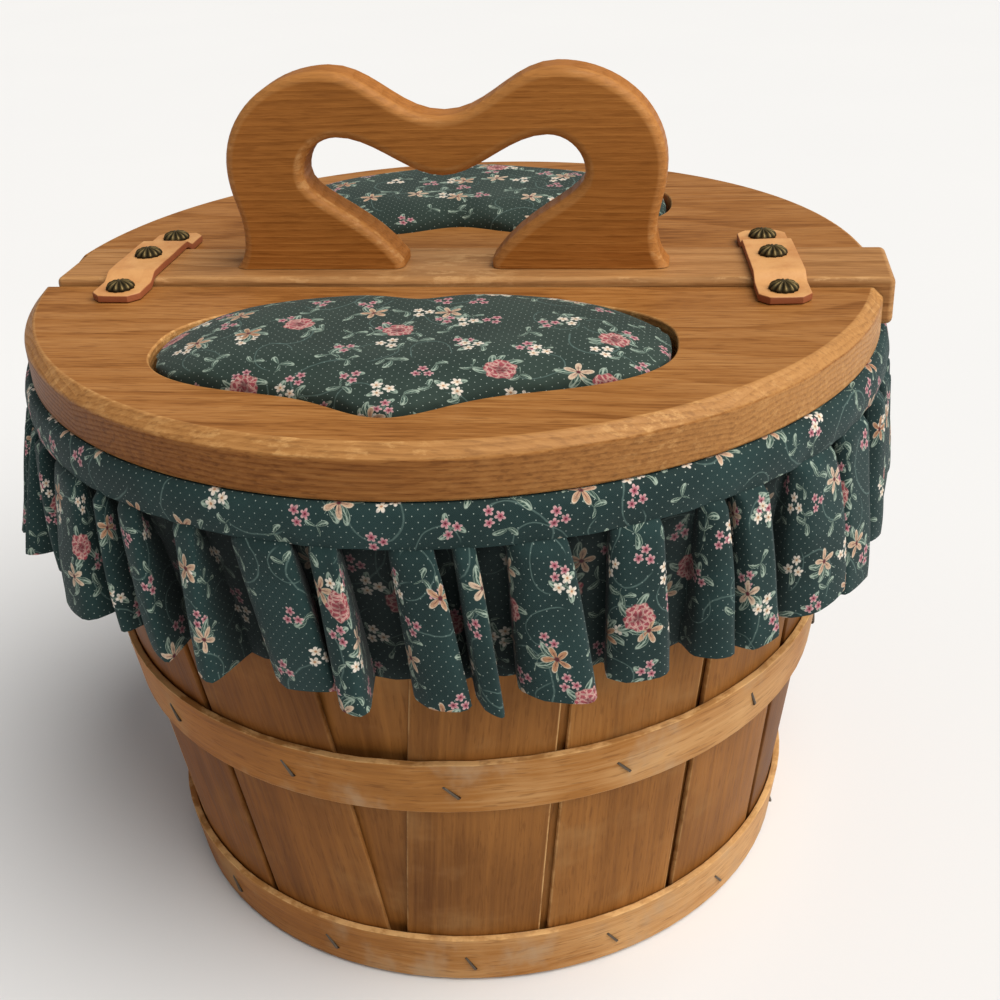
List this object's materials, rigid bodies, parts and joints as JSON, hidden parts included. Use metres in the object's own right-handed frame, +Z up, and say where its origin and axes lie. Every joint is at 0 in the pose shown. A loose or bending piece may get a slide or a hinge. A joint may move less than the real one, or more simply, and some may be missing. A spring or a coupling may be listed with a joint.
{
  "type": "wood slat basket",
  "caption": "Tapered round wooden slat basket with bent hoops, a gathered cloth rim ruffle, padded half lids on leather strap hinges and a heart-shaped board handle.",
  "frame": {"origin": "centre of the round underside, on the surface that the basket stands on", "axes": "+Z up along the basket's axis, the bar and the lids' hinge lines along X, the front towards -Y"},
  "size_m": [0.3622, 0.3628, 0.3408],
  "materials": {
    "lid_wood": "satin varnished honey brown board",
    "slat_wood": "smooth brown veneer",
    "hoop_wood": "lighter bent wood strip",
    "plain_board": "plain inner board",
    "printed_cloth": "dark teal cotton with a small floral print",
    "strap_leather": "pale tan leather",
    "antique_brass": "dark antique brass"
  },
  "bodies": {
    "basket": {"base_disc": "slat_wood", "slat_01": "slat_wood", "slat_02": "slat_wood", "slat_03": "slat_wood", "slat_04": "slat_wood", "slat_05": "slat_wood", "slat_06": "slat_wood", "slat_07": "slat_wood", "slat_08": "slat_wood", "slat_09": "slat_wood", "slat_10": "slat_wood", "slat_11": "slat_wood", "slat_12": "slat_wood", "slat_13": "slat_wood", "slat_14": "slat_wood", "slat_15": "slat_wood", "inner_slat_01": "slat_wood", "inner_slat_02": "slat_wood", "inner_slat_03": "slat_wood", "inner_slat_04": "slat_wood", "inner_slat_05": "slat_wood", "inner_slat_06": "slat_wood", "inner_slat_07": "slat_wood", "inner_slat_08": "slat_wood", "inner_slat_09": "slat_wood", "inner_slat_10": "slat_wood", "inner_slat_11": "slat_wood", "inner_slat_12": "slat_wood", "inner_slat_13": "slat_wood", "inner_slat_14": "slat_wood", "inner_slat_15": "slat_wood", "bottom_hoop": "hoop_wood", "middle_hoop": "hoop_wood", "top_hoop_outer": "hoop_wood", "top_hoop_inner": "hoop_wood", "cleat_left": "plain_board", "cleat_right": "plain_board", "rim_band": "printed_cloth", "ruffle": "printed_cloth", "centre_bar": "lid_wood", "handle": "lid_wood", "strap_left": "strap_leather", "strap_right": "strap_leather", "nail_left_bar": "antique_brass", "nail_right_bar": "antique_brass"},
    "lid_front": {"lid_front": "lid_wood", "pad_board_front": "plain_board", "pad_front": "printed_cloth", "nail_left_front": "antique_brass", "nail_right_front": "antique_brass"},
    "lid_back": {"lid_back": "lid_wood", "pad_board_back": "plain_board", "pad_back": "printed_cloth", "nail_left_back": "antique_brass", "nail_right_back": "antique_brass"}
  },
  "joints": [
    {"name": "lid_front_hinge", "type": "hinge", "parent": "basket", "child": "lid_front", "pos_m": [0, -0.0255, 0.261], "axis": [-1, 0, 0], "range_deg": [0, 92], "deforming": ["strap_left", "strap_right"]},
    {"name": "lid_back_hinge", "type": "hinge", "parent": "basket", "child": "lid_back", "pos_m": [0, 0.0155, 0.261], "axis": [1, 0, 0], "range_deg": [0, 92], "deforming": ["strap_left", "strap_right"]}
  ]
}
